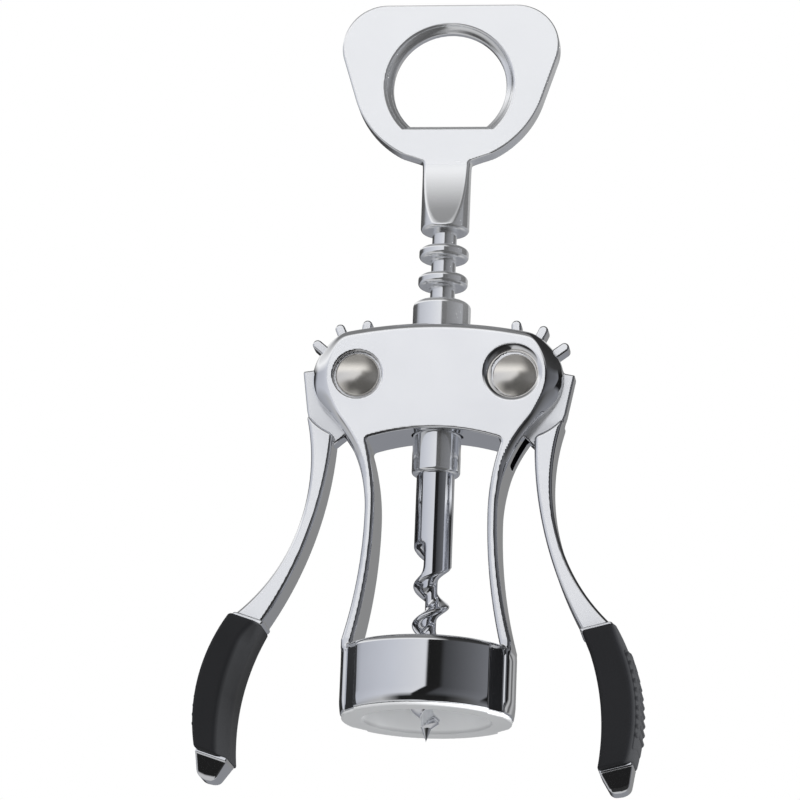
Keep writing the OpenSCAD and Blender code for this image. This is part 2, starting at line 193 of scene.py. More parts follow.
def surface(field, low, high, step):
    """Points, quads and normals of the surface where field is zero in the box from low to high."""
    low = np.array(low, float) - 1.5 * step
    count = np.ceil((np.array(high, float) + 1.5 * step - low) / step).astype(int) + 1
    grid = np.meshgrid(*(low[i] + step * np.arange(count[i]) for i in range(3)), indexing="ij", sparse=True)
    value = np.broadcast_to(field(*grid), tuple(count))
    inside = value < 0
    corners = [(i, j, k) for i in (0, 1) for j in (0, 1) for k in (0, 1)]
    filled = sum(inside[i:count[0] - 1 + i, j:count[1] - 1 + j, k:count[2] - 1 + k].astype(np.int8)
                 for i, j, k in corners)
    active = (filled > 0) & (filled < 8)
    cell = np.argwhere(active)
    number = np.full(active.shape, -1, np.int64)
    number[active] = np.arange(len(cell))

    # each cell's point is the middle of the places where its edges cross the surface
    total, hits = np.zeros((len(cell), 3)), np.zeros(len(cell))
    for corner in corners:
        a = value[tuple((cell + corner).T)]
        for axis in range(3):
            if corner[axis]:
                continue
            other = np.array(corner)
            other[axis] = 1
            b = value[tuple((cell + other).T)]
            crossed = (a < 0) != (b < 0)
            place = np.tile(np.array(corner, float), (len(cell), 1))
            place[:, axis] = a / np.where(crossed, a - b, 1)
            total[crossed] += place[crossed]
            hits += crossed
    points = low + step * (cell + total / hits[:, None])

    quads = []
    for axis in range(3):
        u, v = np.eye(3, dtype=int)[(axis + 1) % 3], np.eye(3, dtype=int)[(axis + 2) % 3]
        cut = [slice(None)] * 3
        cut[axis] = slice(0, -1)
        first = inside[tuple(cut)]
        cut[axis] = slice(1, None)
        edge = np.argwhere(first != inside[tuple(cut)])
        quad = np.stack([number[tuple((edge - off).T)] for off in (0 * u, u, u + v, v)], axis=1)
        outward = first[tuple(edge.T)]
        quad[~outward] = quad[~outward][:, ::-1]
        quads.append(quad)

    for _ in range(6):  # Newton's steps bring each point onto the surface
        slope = gradient(field, points)
        move = field(*points.T) / np.maximum((slope ** 2).sum(axis=1), 1e-6)
        points -= np.clip(move, -step, step)[:, None] * slope
    normals = gradient(field, points)
    normals /= np.maximum(np.linalg.norm(normals, axis=1), 1e-9)[:, None]
    return points, np.concatenate(quads), normals


def upright(field, r, low, high, step):
    """The surface of a piece that stands on the worm's axis, within r of it to each side."""
    return surface(field, (-r, -r, low), (r, r, high), step)


def mesh_object(name, points, quads, normals, place=Matrix.Identity(4)):
    """An object in the row frame, in metres, from points in millimetres in the frame that place gives."""
    turn = np.array(place.to_3x3())
    shift = np.array(place.translation)
    points = (points @ turn.T + shift) * MM
    normals = normals @ turn.T
    if np.linalg.det(turn) < 0:
        quads = quads[:, ::-1]
    mesh = bpy.data.meshes.new(name)
    mesh.vertices.add(len(points))
    mesh.vertices.foreach_set("co", points.ravel())
    mesh.loops.add(quads.size)
    mesh.loops.foreach_set("vertex_index", quads.ravel().astype(np.int32))
    mesh.polygons.add(len(quads))
    mesh.polygons.foreach_set("loop_start", (np.arange(len(quads)) * 4).astype(np.int32))
    mesh.polygons.foreach_set("use_smooth", np.ones(len(quads), bool))
    mesh.update(calc_edges=True)
    mesh.validate()
    mesh.normals_split_custom_set_from_vertices(normals)
    thing = bpy.data.objects.new(name, mesh)
    bpy.context.scene.collection.objects.link(thing)
    return thing


def piece(name, made, body, node, material, place=Matrix.Identity(4)):
    """A detailed piece that stands for a CAD node and moves with its body."""
    thing = mesh_object(name, *made, place)
    thing.data.materials.append(material)
    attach(thing, body)
    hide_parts(node)
    return thing


# ---- frame casting: head, legs and bell ----

HEAD_RISE = HEAD_TOP_Z - PIVOT_Z
TOP_ARC_R = (PIVOT_X ** 2 + HEAD_RISE ** 2 - HEAD_END_R ** 2) / (2 * (HEAD_RISE - HEAD_END_R))
OUTER_RUN, OUTER_DX = PIVOT_Z - WAIST_Z, PIVOT_X - LEG_OUTER_X
UPPER_OUTER_R = (OUTER_RUN ** 2 + OUTER_DX ** 2 - HEAD_END_R ** 2) / (2 * (HEAD_END_R + OUTER_DX))


def outer_edge(ax, z):
    """Outline of the head and legs, where ax is the distance from the middle."""
    top = disc(ax, z - (HEAD_TOP_Z - TOP_ARC_R), TOP_ARC_R)
    end = disc(ax - PIVOT_X, z - PIVOT_Z, HEAD_END_R)
    upper = -disc(ax - LEG_OUTER_X - UPPER_OUTER_R, z - WAIST_Z, UPPER_OUTER_R)
    lower = -disc(ax - LEG_OUTER_X - LOWER_OUTER_R, z - WAIST_Z, LOWER_OUTER_R)
    leg = np.where(z > WAIST_Z, upper, lower)
    beyond_top = (ax * (PIVOT_Z - HEAD_TOP_Z + TOP_ARC_R) - (z - HEAD_TOP_Z + TOP_ARC_R) * PIVOT_X) > 0
    run_x = LEG_OUTER_X + UPPER_OUTER_R - PIVOT_X
    above_leg = (z - PIVOT_Z) * run_x + (ax - PIVOT_X) * OUTER_RUN > 0
    return np.where(beyond_top, np.where(above_leg, end, leg), both(top, leg))


def window(ax, z):
    """The opening between the legs."""
    upper = disc(ax - LEG_INNER_X - UPPER_INNER_R, z - WAIST_Z, UPPER_INNER_R)
    lower = disc(ax - LEG_INNER_X - LOWER_INNER_R, z - WAIST_Z, LOWER_INNER_R)
    arch = disc(ax, z - (WINDOW_TOP_Z - WINDOW_ARC_R), WINDOW_ARC_R)
    return round_both(-np.where(z > WAIST_Z, upper, lower), arch, 1.0)


def bell_notch(ax, ay):
    """The flat-bottomed notch in the drum's side, on each side of both legs."""
    run, fall = NOTCH_END_X - DRUM_HALF, NOTCH_Y - FRAME_HALF
    beyond = ((DRUM_HALF - ax) * fall + (NOTCH_Y - ay) * run) / math.hypot(run, fall)
    return both(beyond, DRUM_HALF - ax, FRAME_HALF - ay)


def bell_field(x, y, z):
    ax, ay = np.abs(x), np.abs(y)
    rho = np.hypot(x, y)
    # the side curves in a little towards the rim
    side = rho - BELL_R + np.maximum(4.5 - z, 0) ** 2 / 30
    drum = round_both(round_both(side, z - BELL_TOP_Z, 1.7), BELL_RIM_Z - z, 0.35)
    notch = both(bell_notch(ax, ay), (z - NOTCH_TOP_Z - (rho - 19.5)) * DIAGONAL)
    return round_cut(drum, notch, 0.2)


def head_and_legs(ax, ay, z):
    """The head and both legs before they are cut, and with them the distance outside their outline."""
    rho = np.hypot(ax, ay)
    outer = both(outer_edge(ax, z), np.where(z < WAIST_Z, ax - LEG_LIMIT_X, -FAR))
    inner = np.where(z < 12, -FAR, -window(ax, z))
    sheet = round_both(outer, inner, 0.3)
    # the legs' feet stay a little inside the bell's pads
    foot = np.where(z < 30, rho - BELL_R + 0.6 - 2.5 * ease(z, 13, 20), -FAR)
    half = FRAME_HALF - 0.5 + 0.5 * ease(z, 13.5, 16.5)
    # the ends of the head and the outer sides of the shoulders are well rounded, and the other edges crisp
    outward = ease(outer - inner, -1.0, 1.0)
    shoulder = 1.3 * ease(z, 55, 64)
    head_end = 3.3 * ease(ax, 22.5, 28.5) * ease(z, 68, 78)
    edge = 0.95 - 0.3 * ease(z, 60, 70) + outward * (shoulder + head_end)
    plate = round_both(both(sheet, foot), ay - half, edge)
    return round_both(plate, BELL_RIM_Z - z, 0.35), outer


def frame_field(x, y, z):
    ax, ay = np.abs(x), np.abs(y)
    rho = np.hypot(x, y)
    plate, outer = head_and_legs(ax, ay, z)
    body = round_either(plate, bell_field(x, y, z), 0.5)

    # the slots run a little way down the outside of the legs
    trough = both(-outer - SLOT_DEPTH, between(z, SLOT_FOOT_Z, PIVOT_Z))
    slot = both(either(disc(ax - PIVOT_X, z - PIVOT_Z, SLOT_R), trough), ay - SLOT_HALF)
    body = round_cut(body, slot, 0.3)
    body = round_cut(body, both(rho - STEM_BORE_R, WAIST_Z - z), 0.4)
    body = round_cut(body, both(rho - COLLAR_R - 0.05, COLLAR_SEAT_Z - z), 0.3)

    # a recess round each rivet's head, and the bore for its shank
    pivot = np.hypot(ax - PIVOT_X, z - PIVOT_Z)
    dished = (x > 0) & (y < 0)
    dish = disc(ax - PIVOT_X - DISH_DX, z - PIVOT_Z - DISH_DZ, DISH_R) + FRAME_HALF - ay
    recess = both(np.where(dished, DIAGONAL * dish, pivot - RECESS_R), FRAME_HALF - RECESS_H - ay)
    body = round_cut(body, recess, np.where(dished, 0.5, 0.4))
    body = both(body, RIVET_SHANK_R + 0.05 - pivot)

    body = round_cut(body, both(rho - BELL_BORE_R, z - BELL_CEILING_Z), 0.3)
    return round_cut(body, both(rho - WORM_HOLE_R, z - BELL_TOP_Z - 2), 0.3)


def liner_field(x, y, z):
    ax, ay = np.abs(x), np.abs(y)
    rho = np.hypot(x, y)
    rim = round_cut(rho - FLANGE_R, bell_notch(ax, ay) - 0.1, 0.2)
    flange = round_both(rim, between(z, 0, BELL_RIM_Z), 0.3)
    sleeve = round_both(rho - BELL_BORE_R, between(z, 0, LINER_H), 0.3)
    mouth = both(rho - LINER_R, z - LINER_H + LINER_LIP_T)
    body = round_cut(either(flange, sleeve), mouth, 0.4)
    return round_cut(body, rho - LINER_LIP_R, 0.3)


# ---- stem, collar, key and worm ----

def collar_field(x, y, z):
    rho = np.hypot(x, y)
    outside = round_both(rho - COLLAR_R, z - COLLAR_TOP_Z, 1.4)
    return round_cut(both(outside, COLLAR_SEAT_Z - z), rho - COLLAR_BORE_R, 0.3)


def stem_field(x, y, z):
    rho = np.hypot(x, y)
    core = both(rho - CORE_R, between(z, BARREL_Z, NECK_Z + 0.5))
    barrel = round_both(rho - BARREL_R, between(z, BARREL_Z, BARREL_TOP_Z), 0.9)
    body = round_either(core, barrel, 0.4)
    for i in range(RING_COUNT):
        ring_z = TOP_RING_Z - i * RING_PITCH
        ring = round_both(rho - RING_R, np.abs(z - ring_z) - RING_T / 2, 1.0)
        body = round_either(body, ring, 0.5)
    body = round_cut(body, disc(y, z - PIN_Z, PIN_R), 0.15)
    return round_cut(body, both(rho - TANG_R, z - TANG_TOP_Z), 0.2)


PLATE_CORNER_Z = PLATE_TOP_Z - PLATE_CORNER_R
CORNER_RISE = PLATE_CORNER_Z - PLATE_MID_Z
SIDE_ANGLE = (math.atan2(CORNER_RISE, PLATE_CORNER_X)
              - math.acos((PLATE_R - PLATE_CORNER_R) / math.hypot(PLATE_CORNER_X, CORNER_RISE)))


def plate_outline(ax, z):
    """A round lower edge, straight sides, round corners and a flat top, each smooth with the next."""
    nx, nz = math.cos(SIDE_ANGLE), math.sin(SIDE_ANGLE)
    lower = disc(ax, z - PLATE_MID_Z, PLATE_R)
    side = ax * nx + (z - PLATE_MID_Z) * nz - PLATE_R
    corner = disc(ax - PLATE_CORNER_X, z - PLATE_CORNER_Z, PLATE_CORNER_R)
    top = z - PLATE_TOP_Z
    above_lower = (z - PLATE_MID_Z) * nx - ax * nz > 0
    above_side = (z - PLATE_CORNER_Z) * nx - (ax - PLATE_CORNER_X) * nz > 0
    past_corner = ax > PLATE_CORNER_X
    right = np.where(above_side, np.where(past_corner, corner, top), side)
    return np.where(above_lower, np.where(past_corner | above_side, right, both(side, top)), lower)


def key_field(x, y, z):
    ax, ay = np.abs(x), np.abs(y)
    rho = np.hypot(x, y)
    # the neck is round; it thins towards the plate in a scoop that leaves one flat face with the plate
    neck = both(ax - NECK_R - 1, NECK_Z - 1 - z, z - PLATE_MID_Z)
    outline = round_either(plate_outline(ax, z), neck, 0.8)
    round_side = rho - NECK_R - 3 * soft(z - NECK_FLARE_Z, 0.4)
    below = soft(SCOOP_TOP_Z - z, 1.0)
    thick = PLATE_HALF + 0.05 * below + 0.0085 * below ** 2
    body = round_both(round_both(outline, round_side, 0.1), NECK_Z - z, 1.0)
    body = round_both(body, ay - thick, 0.4)
    # the hole's edge is dished on both faces, and half as wide along the straight lip
    circle = disc(x, z - CAP_HOLE_Z, CAP_HOLE_R)
    away = both(circle, 1.7 * (LIP_Z - z))
    dish = disc(away + HOLE_DISH_IN, ay - PLATE_HALF - HOLE_DISH_OUT, HOLE_DISH_R)
    body = round_cut(body, dish, 0.35)
    return round_cut(body, both(circle, LIP_Z - z), 0.4)


def worm_field(x, y, z):
    """A round shank with one wide groove cut round it, which leaves a thick right-handed thread."""
    rho, angle = np.hypot(x, y), np.arctan2(y, x)
    lap = (z - GROOVE_Z) / WORM_PITCH - (angle - math.pi) / (2 * math.pi)
    laps_down = -np.round(lap)
    from_groove = np.abs(lap + laps_down) * WORM_PITCH
    along = angle - 2 * math.pi * laps_down
    to_crest = WORM_PITCH / 2 - from_groove
    crest = np.exp(-(to_crest / CREST_WIDTH) ** 2.2)
    thread = CORE_OF_WORM_R + (THREAD_R - CORE_OF_WORM_R) * crest
    reach = thread + (SHANK_R - thread) * ease(along, math.pi + 0.5, math.pi + 1.4)
    # the point is short and sharp
    taper = np.interp(z, [POINT_Z, -1.5, -0.3, 5], [0.05, 1.2, 2.9, SHANK_R])
    worm = both(rho - np.minimum(reach, taper), z - BARREL_Z - 0.3) * 0.7
    tang = both(rho - TANG_R + 0.02, between(z, BARREL_Z - 1, TANG_TOP_Z))
    return either(worm, tang)


def pin_field(x, y, z):
    """The cross pin, whose ends are filed nearly flush with the barrel."""
    return round_both(disc(y, z - PIN_Z, PIN_R), disc(x, y, BARREL_R) + 0.06, 0.2)


# ---- levers and grips, with the arm straight down from the pivot: v is outward, u down and w up ----

MESH_Z = TOP_RING_Z - (RING_COUNT - 1.5) * RING_PITCH
FIRST_TOOTH = ARM_ANGLE - 90 + math.degrees(math.asin((MESH_Z - PIVOT_Z) / TOOTH_TIP_R)) - TOOTH_STEP


def bow(v, u, at_u, at_v, r):
    """Inside of a circle whose edge is at_v outward at a distance at_u down the arm.

    The circle lies outward of that edge, or inward of it if r is negative.
    """
    return disc(v - at_v - r, u - at_u, abs(r))


def arm_outline(v, u):
    inner = bow(v, u, ARM_BEND_U, ARM_INNER_V, ARM_INNER_R)
    upper, lower = (-bow(v, u, ARM_BEND_U, ARM_OUTER_V, r) for r in (ARM_UPPER_R, ARM_LOWER_R))
    return both(inner, np.where(u < ARM_BEND_U, upper, lower))


def grip_outside(v, u, inset=0.0):
    return bow(v, u, GRIP_OUTER_U, GRIP_OUTER_V - inset, -GRIP_OUTER_R)


def grip_inside(v, u, inset=0.0):
    return -bow(v, u, GRIP_INNER_U, GRIP_INNER_V + inset, -GRIP_INNER_R)


def grip_core(v, u, inset):
    """The outline of the grip, drawn in by inset on both sides."""
    return both(grip_outside(v, u, inset), grip_inside(v, u, inset))


def lever_field(v, y, w):
    """One casting: the hub with its teeth and shoulder, the arm, the tang inside the grip and the tip."""
    u, ay = -w, np.abs(y)
    hub = disc(v, u, HUB_R)
    for i in range(TEETH):
        a = math.radians(FIRST_TOOTH + i * TOOTH_STEP)
        along = v * math.sin(a) + w * math.cos(a)
        across = v * math.cos(a) - w * math.sin(a)
        reach = np.clip(along, HUB_R - 2, TOOTH_TIP_R - TOOTH_W / 2)
        hub = round_either(hub, np.hypot(across, along - reach) - TOOTH_W / 2, 0.6)
    hub = round_both(round_either(hub, polygon(v, u, SHOULDER), 0.8), ay - HUB_HALF, 0.5)
    outline = arm_outline(v, u)
    arm = round_both(outline, STEP_R - np.hypot(v, u), 1.0)
    arm = round_both(both(arm, between(u, 10, GRIP_TOP + 0.4)), ay - ARM_HALF, 0.85)
    collar = round_both(outline - 0.35, ay - ARM_HALF - 0.35, 0.5)
    arm = either(arm, round_both(collar, between(u, GRIP_TOP - 0.8, GRIP_TOP + 0.3), 0.3))
    tang = both(grip_core(v, u, TANG_INSET), between(u, GRIP_TOP - 1.2, GRIP_FOOT + 0.6), ay - TANG_HALF)
    body = either(round_either(hub, arm, 0.25), tang, lever_tip(v, ay, u))
    return round_cut(body, disc(v, u, RIVET_SHANK_R + 0.05), 0.2)


def lever_tip(v, ay, u):
    """The blunt faceted end that shows past the grip, with a narrow rim above its facets."""
    down = np.maximum(u - GRIP_FOOT - 0.7, 0)
    front = (ay - 5.0 + 0.24 * down) * 0.97
    outer = (v - 5.3 + 0.42 * down) * 0.92
    inner = (-v - 2.7 + 0.28 * down) * 0.96
    body = round_both(round_both(outer, inner, 0.6), front, 0.5)
    body = round_both(body, u - TIP_FOOT + 0.12 * np.abs(v - 1.2), 1.3)
    rim = round_both(polygon(v, u, TIP_RIM), ay - 5.3, 0.35)
    return both(either(body, rim), GRIP_FOOT - 0.25 - u)


def grip_field(v, y, w, sloped):
    """The rubber sleeve; the front edge of its sloped side, inside or outside, is cut to a wide slope."""
    u, ay = -w, np.abs(y)
    outside, inside = grip_outside(v, u), grip_inside(v, u)
    slope = (inside if sloped == "inside" else outside) * 0.8 + (-y - GRIP_HALF) * 0.6
    slope = slope + GRIP_SLOPE[sloped] * ease(u, GRIP_TOP - 6, GRIP_TOP + 6)
    body = round_both(round_both(outside, ay - GRIP_HALF, 0.8), slope, 0.8)
    body = round_both(body, inside, 0.9)
    body = round_both(body, between(u, GRIP_TOP, GRIP_FOOT), 0.7)

    # thumb pad: a raised field with rows of round nubs
    if sloped == "inside":
        skin, pad_half, columns = outside, 5.6, 2
    else:
        skin, pad_half, columns = round_both(outside, slope, 0.8), 6.4, 3
    pad = round_both(skin - 0.15, round_both(ay - pad_half, between(u, PAD_TOP, PAD_FOOT), 0.5), 0.15)
    down, out = u - GRIP_OUTER_U, v - GRIP_OUTER_V + GRIP_OUTER_R
    body = round_either(body, both(pad, GRIP_OUTER_R - 3 - np.hypot(down, out)), 0.15)
    arc = np.arctan2(down, out) * GRIP_OUTER_R
    row = arc - NUB_ROW * np.clip(np.round(arc / NUB_ROW), -2, 7)
    column = y - NUB_COLUMN * np.clip(np.round(y / NUB_COLUMN), -columns, columns)
    nub = np.sqrt(row ** 2 + column ** 2 + (skin + 0.2) ** 2) - NUB_R
    body = round_either(body, nub, 0.15)
    hollow = both(grip_core(v, u, TANG_INSET + 0.05), ay - TANG_HALF - 0.05)
    return round_cut(body, hollow, 0.2)


# ---- rivets, with y measured outward from the seat of the head ----

SEAT_Y = FRAME_HALF - RECESS_H
DOME_R = (RIVET_HEAD_R ** 2 + RIVET_RISE ** 2) / (2 * RIVET_RISE)


def rivet_field(out, radius, shank_r, shank_end):
    """A domed head whose flat side is at out = 0, and a shank that runs inwards to shank_end."""
    dome = disc(radius, out - (RIVET_EDGE + RIVET_RISE - DOME_R), DOME_R)
    head = round_both(round_both(dome, radius - RIVET_HEAD_R, 0.35), -out, 0.25)
    shank = both(radius - shank_r, between(out, shank_end, 0.1))
    return either(head, shank)


def rivet_pin_field(x, y, z):
    """The hollow rivet, put in from the front."""
    radius = np.hypot(x, z)
    body = rivet_field(-y - SEAT_Y, radius, RIVET_SHANK_R, -2 * SEAT_Y)
    return both(body, -both(radius - RIVET_BORE_R, SEAT_Y - RIVET_BORE_DEPTH - y))


def rivet_cap_field(x, y, z):
    """The cap, pressed into the rivet from the back."""
    return rivet_field(y - SEAT_Y, np.hypot(x, z), RIVET_BORE_R - 0.02, -RIVET_BORE_DEPTH)


# ---- materials ----

SATIN_METAL = 0.72
DARK_SLOT_WALL = (0.02, 0.02, 0.022)


def new_material(name):
    mat = bpy.data.materials.new(name)
    mat.use_nodes = True
    nodes, links = mat.node_tree.nodes, mat.node_tree.links
    nodes.clear()
    out = nodes.new("ShaderNodeOutputMaterial")
    shader = nodes.new("ShaderNodeBsdfPrincipled")
    links.new(shader.outputs["BSDF"], out.inputs["Surface"])
    return mat, nodes, links, shader


def split_axes(nodes, links, vector):
    """X, Y and Z of a vector."""
    node = nodes.new("ShaderNodeSeparateXYZ")
    links.new(vector, node.inputs["Vector"])
    return [node.outputs[axis] for axis in "XYZ"]


def calc(nodes, links, operation, *values):
    """The result of a Math node, whose values are numbers or other nodes' outputs."""
    node = nodes.new("ShaderNodeMath")
    node.operation = operation
    for socket, value in zip(node.inputs, values):
        if isinstance(value, (int, float)):
            socket.default_value = value
        else:
            links.new(value, socket)
    return node.outputs[0]


def noise(nodes, links, coords, scale, detail, stretch=(1, 1, 1)):
    mapping = nodes.new("ShaderNodeMapping")
    mapping.inputs["Scale"].default_value = stretch
    links.new(coords, mapping.inputs["Vector"])
    tex = nodes.new("ShaderNodeTexNoise")
    tex.inputs["Scale"].default_value = scale
    tex.inputs["Detail"].default_value = detail
    links.new(mapping.outputs["Vector"], tex.inputs["Vector"])
    return tex.outputs["Fac"]


def remap(nodes, links, value, low, high, from_low=0.0, from_high=1.0):
    """low where the value is from_low, high where it is from_high, and in proportion between."""
    node = nodes.new("ShaderNodeMapRange")
    node.inputs["From Min"].default_value = from_low
    node.inputs["From Max"].default_value = from_high
    node.inputs["To Min"].default_value = low
    node.inputs["To Max"].default_value = high
    links.new(value, node.inputs["Value"])
    return node.outputs["Result"]


def blend(nodes, links, factor, low, high):
    """A colour between low and high, which are colours or other nodes' outputs."""
    mix = nodes.new("ShaderNodeMix")
    mix.data_type = "RGBA"
    links.new(factor, mix.inputs["Factor"])
    for socket, end in (("A", low), ("B", high)):
        if isinstance(end, tuple):
            mix.inputs[socket].default_value = (*end, 1)
        else:
            links.new(end, mix.inputs[socket])
    return mix.outputs["Result"]


def relief(nodes, links, shader, height, strength, depth):
    """Fine bumps in the surface, with their depth in metres."""
    node = nodes.new("ShaderNodeBump")
    node.inputs["Strength"].default_value = strength
    node.inputs["Distance"].default_value = depth
    links.new(height, node.inputs["Height"])
    links.new(node.outputs["Normal"], shader.inputs["Normal"])


def plated(name, polish, satin, dark, light, grain=(1, 1, 1), bump=0.02, tilt=0.99, above=-1.0,
           metal=1.0, slot=0.0):
    """Chrome plate: polished, but satin on faces that look to the front or back, above a height in metres.

    tilt is how squarely a face has to look that way, where 1 is exactly and 2 never happens. The walls
    of a slot whose half width is given in metres are coloured dark.
    """
    mat, nodes, links, shader = new_material(name)
    coords = nodes.new("ShaderNodeTexCoord").outputs
    normal_x, normal_y, _ = split_axes(nodes, links, coords["Normal"])
    sideways = calc(nodes, links, "ABSOLUTE", normal_x)
    forward = calc(nodes, links, "ABSOLUTE", normal_y)
    _, place_y, place_z = split_axes(nodes, links, coords["Object"])
    squarely = calc(nodes, links, "MULTIPLY", remap(nodes, links, forward, 0, 1, tilt - 0.03, tilt),
                    remap(nodes, links, sideways, 1, 0, 0.02, 0.13))
    flat = calc(nodes, links, "MULTIPLY", squarely,
                remap(nodes, links, place_z, 0, 1, above, above + 0.0005))

    smear = noise(nodes, links, coords["Object"], 900, 3, grain)
    rough = nodes.new("ShaderNodeMix")
    links.new(flat, rough.inputs["Factor"])
    links.new(remap(nodes, links, smear, polish * 0.85, polish * 1.15), rough.inputs["A"])
    links.new(remap(nodes, links, smear, satin * 0.9, satin * 1.1), rough.inputs["B"])
    links.new(rough.outputs["Result"], shader.inputs["Roughness"])
    links.new(remap(nodes, links, flat, metal, SATIN_METAL), shader.inputs["Metallic"])

    colour = blend(nodes, links, noise(nodes, links, coords["Object"], 60, 3), dark, light)
    # the walls of the slot are coloured near black
    if slot:
        depth = calc(nodes, links, "ABSOLUTE", place_y)
        wall = calc(nodes, links, "MULTIPLY", remap(nodes, links, depth, 1, 0, slot + 0.0002, slot + 0.0005),
                    remap(nodes, links, forward, 0, 1, 0.4, 0.8))
        colour = blend(nodes, links, wall, colour, DARK_SLOT_WALL)
    links.new(colour, shader.inputs["Base Color"])
    relief(nodes, links, shader, noise(nodes, links, coords["Object"], 2500, 2, grain), bump, 0.00002)
    return mat


def rubber(name):
    """Matt charcoal rubber, with painted light that makes the faces to the right a lighter grey."""
    mat, nodes, links, shader = new_material(name)
    coords = nodes.new("ShaderNodeTexCoord").outputs
    patch = noise(nodes, links, coords["Object"], 70, 4)
    rubber_tone = blend(nodes, links, patch, (0.0080, 0.0085, 0.0100), (0.0120, 0.0125, 0.0145))
    painted_light_tone = blend(nodes, links, patch, (0.028, 0.029, 0.031), (0.036, 0.037, 0.040))
    # painted light: faces that look to the right get the lighter grey, as if a lamp lit them from that side
    normal_x = split_axes(nodes, links, coords["Normal"])[0]
    colour = blend(nodes, links, remap(nodes, links, normal_x, 0, 1, 0.35, 0.8), rubber_tone, painted_light_tone)
    links.new(colour, shader.inputs["Base Color"])
    grain = noise(nodes, links, coords["Object"], 4500, 2)
    links.new(remap(nodes, links, grain, 0.5, 0.68), shader.inputs["Roughness"])
    shader.inputs["Specular IOR Level"].default_value = 0.35
    relief(nodes, links, shader, grain, 0.25, 0.00005)
    return mat


def plastic(name):
    """Pale moulded plastic, with painted shade that greys its face on the rim and painted light that
    brightens the bore.
    """
    mat, nodes, links, shader = new_material(name)
    coords = nodes.new("ShaderNodeTexCoord").outputs["Object"]
    patch = noise(nodes, links, coords, 45, 3)
    # painted shade on the rim's face and painted light in the bore, switched by height
    rim = blend(nodes, links, patch, (0.52, 0.53, 0.54), (0.57, 0.58, 0.59))
    bore = blend(nodes, links, patch, (0.86, 0.87, 0.88), (0.90, 0.91, 0.92))
    height = split_axes(nodes, links, coords)[2]
    colour = blend(nodes, links, remap(nodes, links, height, 0, 1, 0.0003, 0.0012), rim, bore)
    links.new(colour, shader.inputs["Base Color"])
    grain = noise(nodes, links, coords, 3000, 2)
    links.new(remap(nodes, links, grain, 0.42, 0.55), shader.inputs["Roughness"])
    relief(nodes, links, shader, grain, 0.1, 0.00003)
    return mat


CAST = {"dark": (0.80, 0.81, 0.84), "light": (0.92, 0.93, 0.95)}
TURNED = {"dark": (0.88, 0.89, 0.91), "light": (0.93, 0.94, 0.96), "tilt": 2.0}
BODY = plated("chrome_casting", 0.05, 0.24, **CAST, tilt=0.985, above=0.0185, slot=SLOT_HALF * MM)
ARM = plated("chrome_lever", 0.05, 0.24, **CAST, tilt=0.985, above=0.0)
KEY = plated("chrome_key", 0.14, 0.26, (0.85, 0.86, 0.88), (0.90, 0.91, 0.93), grain=(0.15, 1, 3),
             tilt=0.85, above=0.139, metal=0.93)
BRIGHT = plated("chrome_turned", 0.05, 0.05, (0.82, 0.83, 0.86), (0.88, 0.89, 0.92), tilt=2.0)
COLLAR = plated("chrome_collar", 0.11, 0.11, **TURNED, metal=0.91)
RACK = plated("chrome_rack", 0.07, 0.07, **TURNED, metal=0.93)
NICKEL = plated("nickel_rivet", 0.23, 0.23, (0.88, 0.85, 0.80), (0.95, 0.92, 0.87), bump=0.05,
                tilt=2.0, metal=0.95)
RUBBER = rubber("grip_rubber")
PLASTIC = plastic("liner_plastic")

# ---- pieces: each box just holds the piece, and the last number is the grid's step in millimetres ----

piece("frame_casting",
      surface(frame_field, (-HEAD_HALF_X, -BELL_R, BELL_RIM_Z), (HEAD_HALF_X, BELL_R, HEAD_TOP_Z), 0.32),
      "body", "frame", BODY)
piece("mouth_liner", upright(liner_field, 20.8, 0, LINER_H, 0.4),
      "body", "neck_liner", PLASTIC)
piece("stem_collar", upright(collar_field, 7.1, COLLAR_SEAT_Z, COLLAR_TOP_Z, 0.22),
      "collar", "guide_collar", COLLAR)
piece("stem", upright(stem_field, 6.1, 60.4, 122.7, 0.22), "stem", "rack_stem", RACK)
piece("key", surface(key_field, (-27.2, -6, NECK_Z), (27.2, 6, PLATE_TOP_Z), 0.28),
      "stem", "opener_key", KEY)
piece("auger", upright(worm_field, 4.7, POINT_Z, 71.6, 0.16), "stem", "worm", BRIGHT)
piece("cross_pin", surface(pin_field, (-5.9, -1.3, 65.3), (5.9, 1.3, 67.9), 0.12),
      "stem", "worm_pin", NICKEL)


def grip_mesh(sloped):
    return surface(lambda v, y, w: grip_field(v, y, w, sloped),
                   (-4.5, -7.3, -GRIP_FOOT), (12, 7.3, -GRIP_TOP), 0.25)


def rivet_mesh(field, front, back):
    return surface(field, (-RIVET_HEAD_R, front, -RIVET_HEAD_R), (RIVET_HEAD_R, back, RIVET_HEAD_R), 0.2)


lever_mesh = surface(lever_field, (-16, -5.7, -104.5), (16, 5.7, 15.5), 0.28)
pin_mesh = rivet_mesh(rivet_pin_field, -8.8, 6.7)
cap_mesh = rivet_mesh(rivet_cap_field, -2.5, 8.8)
for side, word, play, sloped in ((-1, "left", ARM_PLAY, "inside"), (1, "right", -ARM_PLAY, "outside")):
    at_pivot = Matrix.Translation((side * PIVOT_X, 0, PIVOT_Z))
    turned = at_pivot @ Matrix.Rotation(math.radians(-side * (ARM_ANGLE + play)), 4, "Y")
    if side < 0:
        turned = turned @ Matrix.Scale(-1, 4, (1, 0, 0))
    piece(f"{word}_lever", lever_mesh, f"{word}_lever", f"lever_{word}", ARM, turned)
    piece(f"{word}_grip", grip_mesh(sloped), f"{word}_lever", f"grip_{word}", RUBBER, turned)
    piece(f"{word}_rivet", pin_mesh, "body", f"pivot_pin_{word}", NICKEL, at_pivot)
    piece(f"{word}_rivet_cap", cap_mesh, "body", f"pivot_cap_{word}", NICKEL, at_pivot)

# ---- floor, light and camera ----

FLOOR_HALF, FLOOR_SIDES = 1.5, 24
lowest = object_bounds()[0].z


